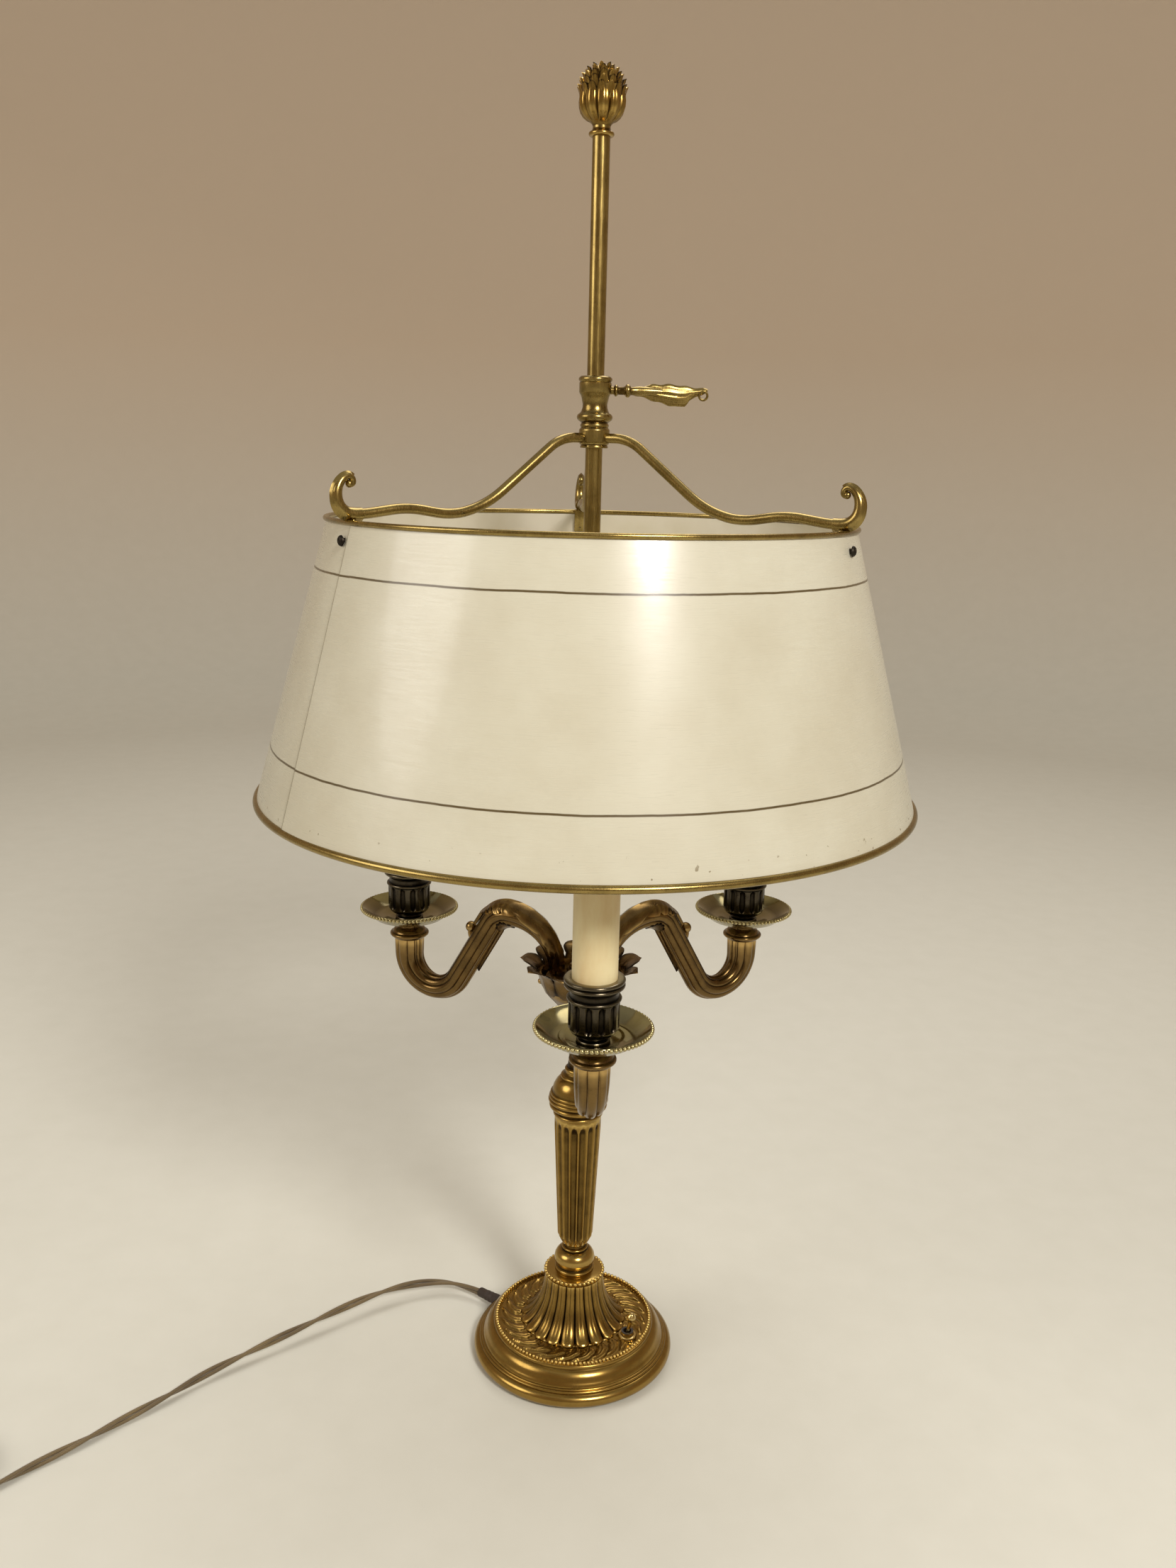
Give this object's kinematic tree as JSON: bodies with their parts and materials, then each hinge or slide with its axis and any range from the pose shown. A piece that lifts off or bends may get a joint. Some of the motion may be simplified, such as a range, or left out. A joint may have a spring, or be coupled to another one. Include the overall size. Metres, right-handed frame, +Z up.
{
  "type": "bouillotte lamp",
  "caption": "Candle-arm table lamp with a wide conical metal shade that slides, turns and clamps on a central stem above a round fluted column and foot.",
  "frame": {"origin": "centre of the felt underside, on the stem's axis", "axes": "+Z up along the stem, -Y towards the front candle arm, +X towards the clamp key"},
  "size_m": [0.6311, 0.4109, 0.79],
  "materials": {
    "felt": "dense wool felt",
    "gilt_bronze": "gilt bronze with brown patina in the recesses",
    "arm_bronze": "cast bronze, reddish gilding worn to brown",
    "pan_brass": "polished brass gone slightly green",
    "cup_bronze": "dark patinated bronze with bright edges",
    "stem_brass": "lacquered brass, satin",
    "zinc_steel": "zinc plated",
    "sleeve_card": "yellowed ivory",
    "holder_plastic": "black phenolic",
    "bulb_glass": "clear",
    "bulb_cap_metal": "rolled screw cap",
    "shade_paint": "aged ivory gloss paint",
    "screw_steel": "darkened",
    "switch_metal": "polished",
    "cord_textile": "braided twisted pair, gold and brown",
    "cord_rubber": "brown rubber",
    "tie_plastic": "flat strap",
    "plug_plastic": "dark brown phenolic",
    "plug_pin_metal": "turned, bright"
  },
  "bodies": {
    "lamp": {"felt_pad": "felt", "foot": "gilt_bronze", "bell": "gilt_bronze", "column_knob": "gilt_bronze", "column": "gilt_bronze", "column_cap": "gilt_bronze", "hub_neck": "gilt_bronze", "finial": "gilt_bronze", "hub_calyx": "arm_bronze", "hub_head": "arm_bronze", "candle_arm_front": "arm_bronze", "candle_arm_right": "arm_bronze", "candle_arm_left": "arm_bronze", "drip_pan_front": "pan_brass", "drip_pan_right": "pan_brass", "drip_pan_left": "pan_brass", "candle_cup_front": "cup_bronze", "candle_cup_right": "cup_bronze", "candle_cup_left": "cup_bronze", "stem_rod": "stem_brass", "tie_rod": "zinc_steel", "base_washer": "zinc_steel", "base_nut": "zinc_steel", "candle_nipples": "zinc_steel", "candle_sleeve_front": "sleeve_card", "candle_sleeve_right": "sleeve_card", "candle_sleeve_left": "sleeve_card", "lampholders": "holder_plastic", "switch_body": "holder_plastic", "bulb_glasses": "bulb_glass", "bulb_caps": "bulb_cap_metal", "switch_nut": "switch_metal", "cord_lead": "cord_textile", "cord_coil": "cord_textile", "cord_bush": "cord_rubber", "cord_tie": "tie_plastic", "plug_body": "plug_plastic", "plug_pins": "plug_pin_metal"},
    "slide": {"slide_liner": "stem_brass"},
    "shade": {"slider_collar": "stem_brass", "carrier_ring": "stem_brass", "shade_arm_back": "stem_brass", "shade_arm_left": "stem_brass", "shade_arm_right": "stem_brass", "shade_shell": "shade_paint", "shade_top_wire": "stem_brass", "shade_foot_roll": "stem_brass", "shade_screws": "screw_steel"},
    "key": {"clamp_key": "stem_brass"},
    "toggle": {"switch_toggle": "switch_metal"}
  },
  "joints": [
    {"name": "shade_slide", "type": "slide", "parent": "lamp", "child": "slide", "axis": [0, 0, 1], "range_m": [-0.075, 0.124]},
    {"name": "shade_turn", "type": "hinge", "parent": "slide", "child": "shade", "pos_m": [0, 0, 0.6], "axis": [0, 0, 1], "continuous": true},
    {"name": "clamp_screw", "type": "hinge", "parent": "shade", "child": "key", "pos_m": [0.02, 0, 0.6208], "axis": [1, 0, 0], "range_deg": [0, 360]},
    {"name": "toggle_lever", "type": "hinge", "parent": "lamp", "child": "toggle", "pos_m": [0.03461, -0.02335, 0.0249], "axis": [0.5592, 0.829, 0], "range_deg": [-22, 0]}
  ]
}
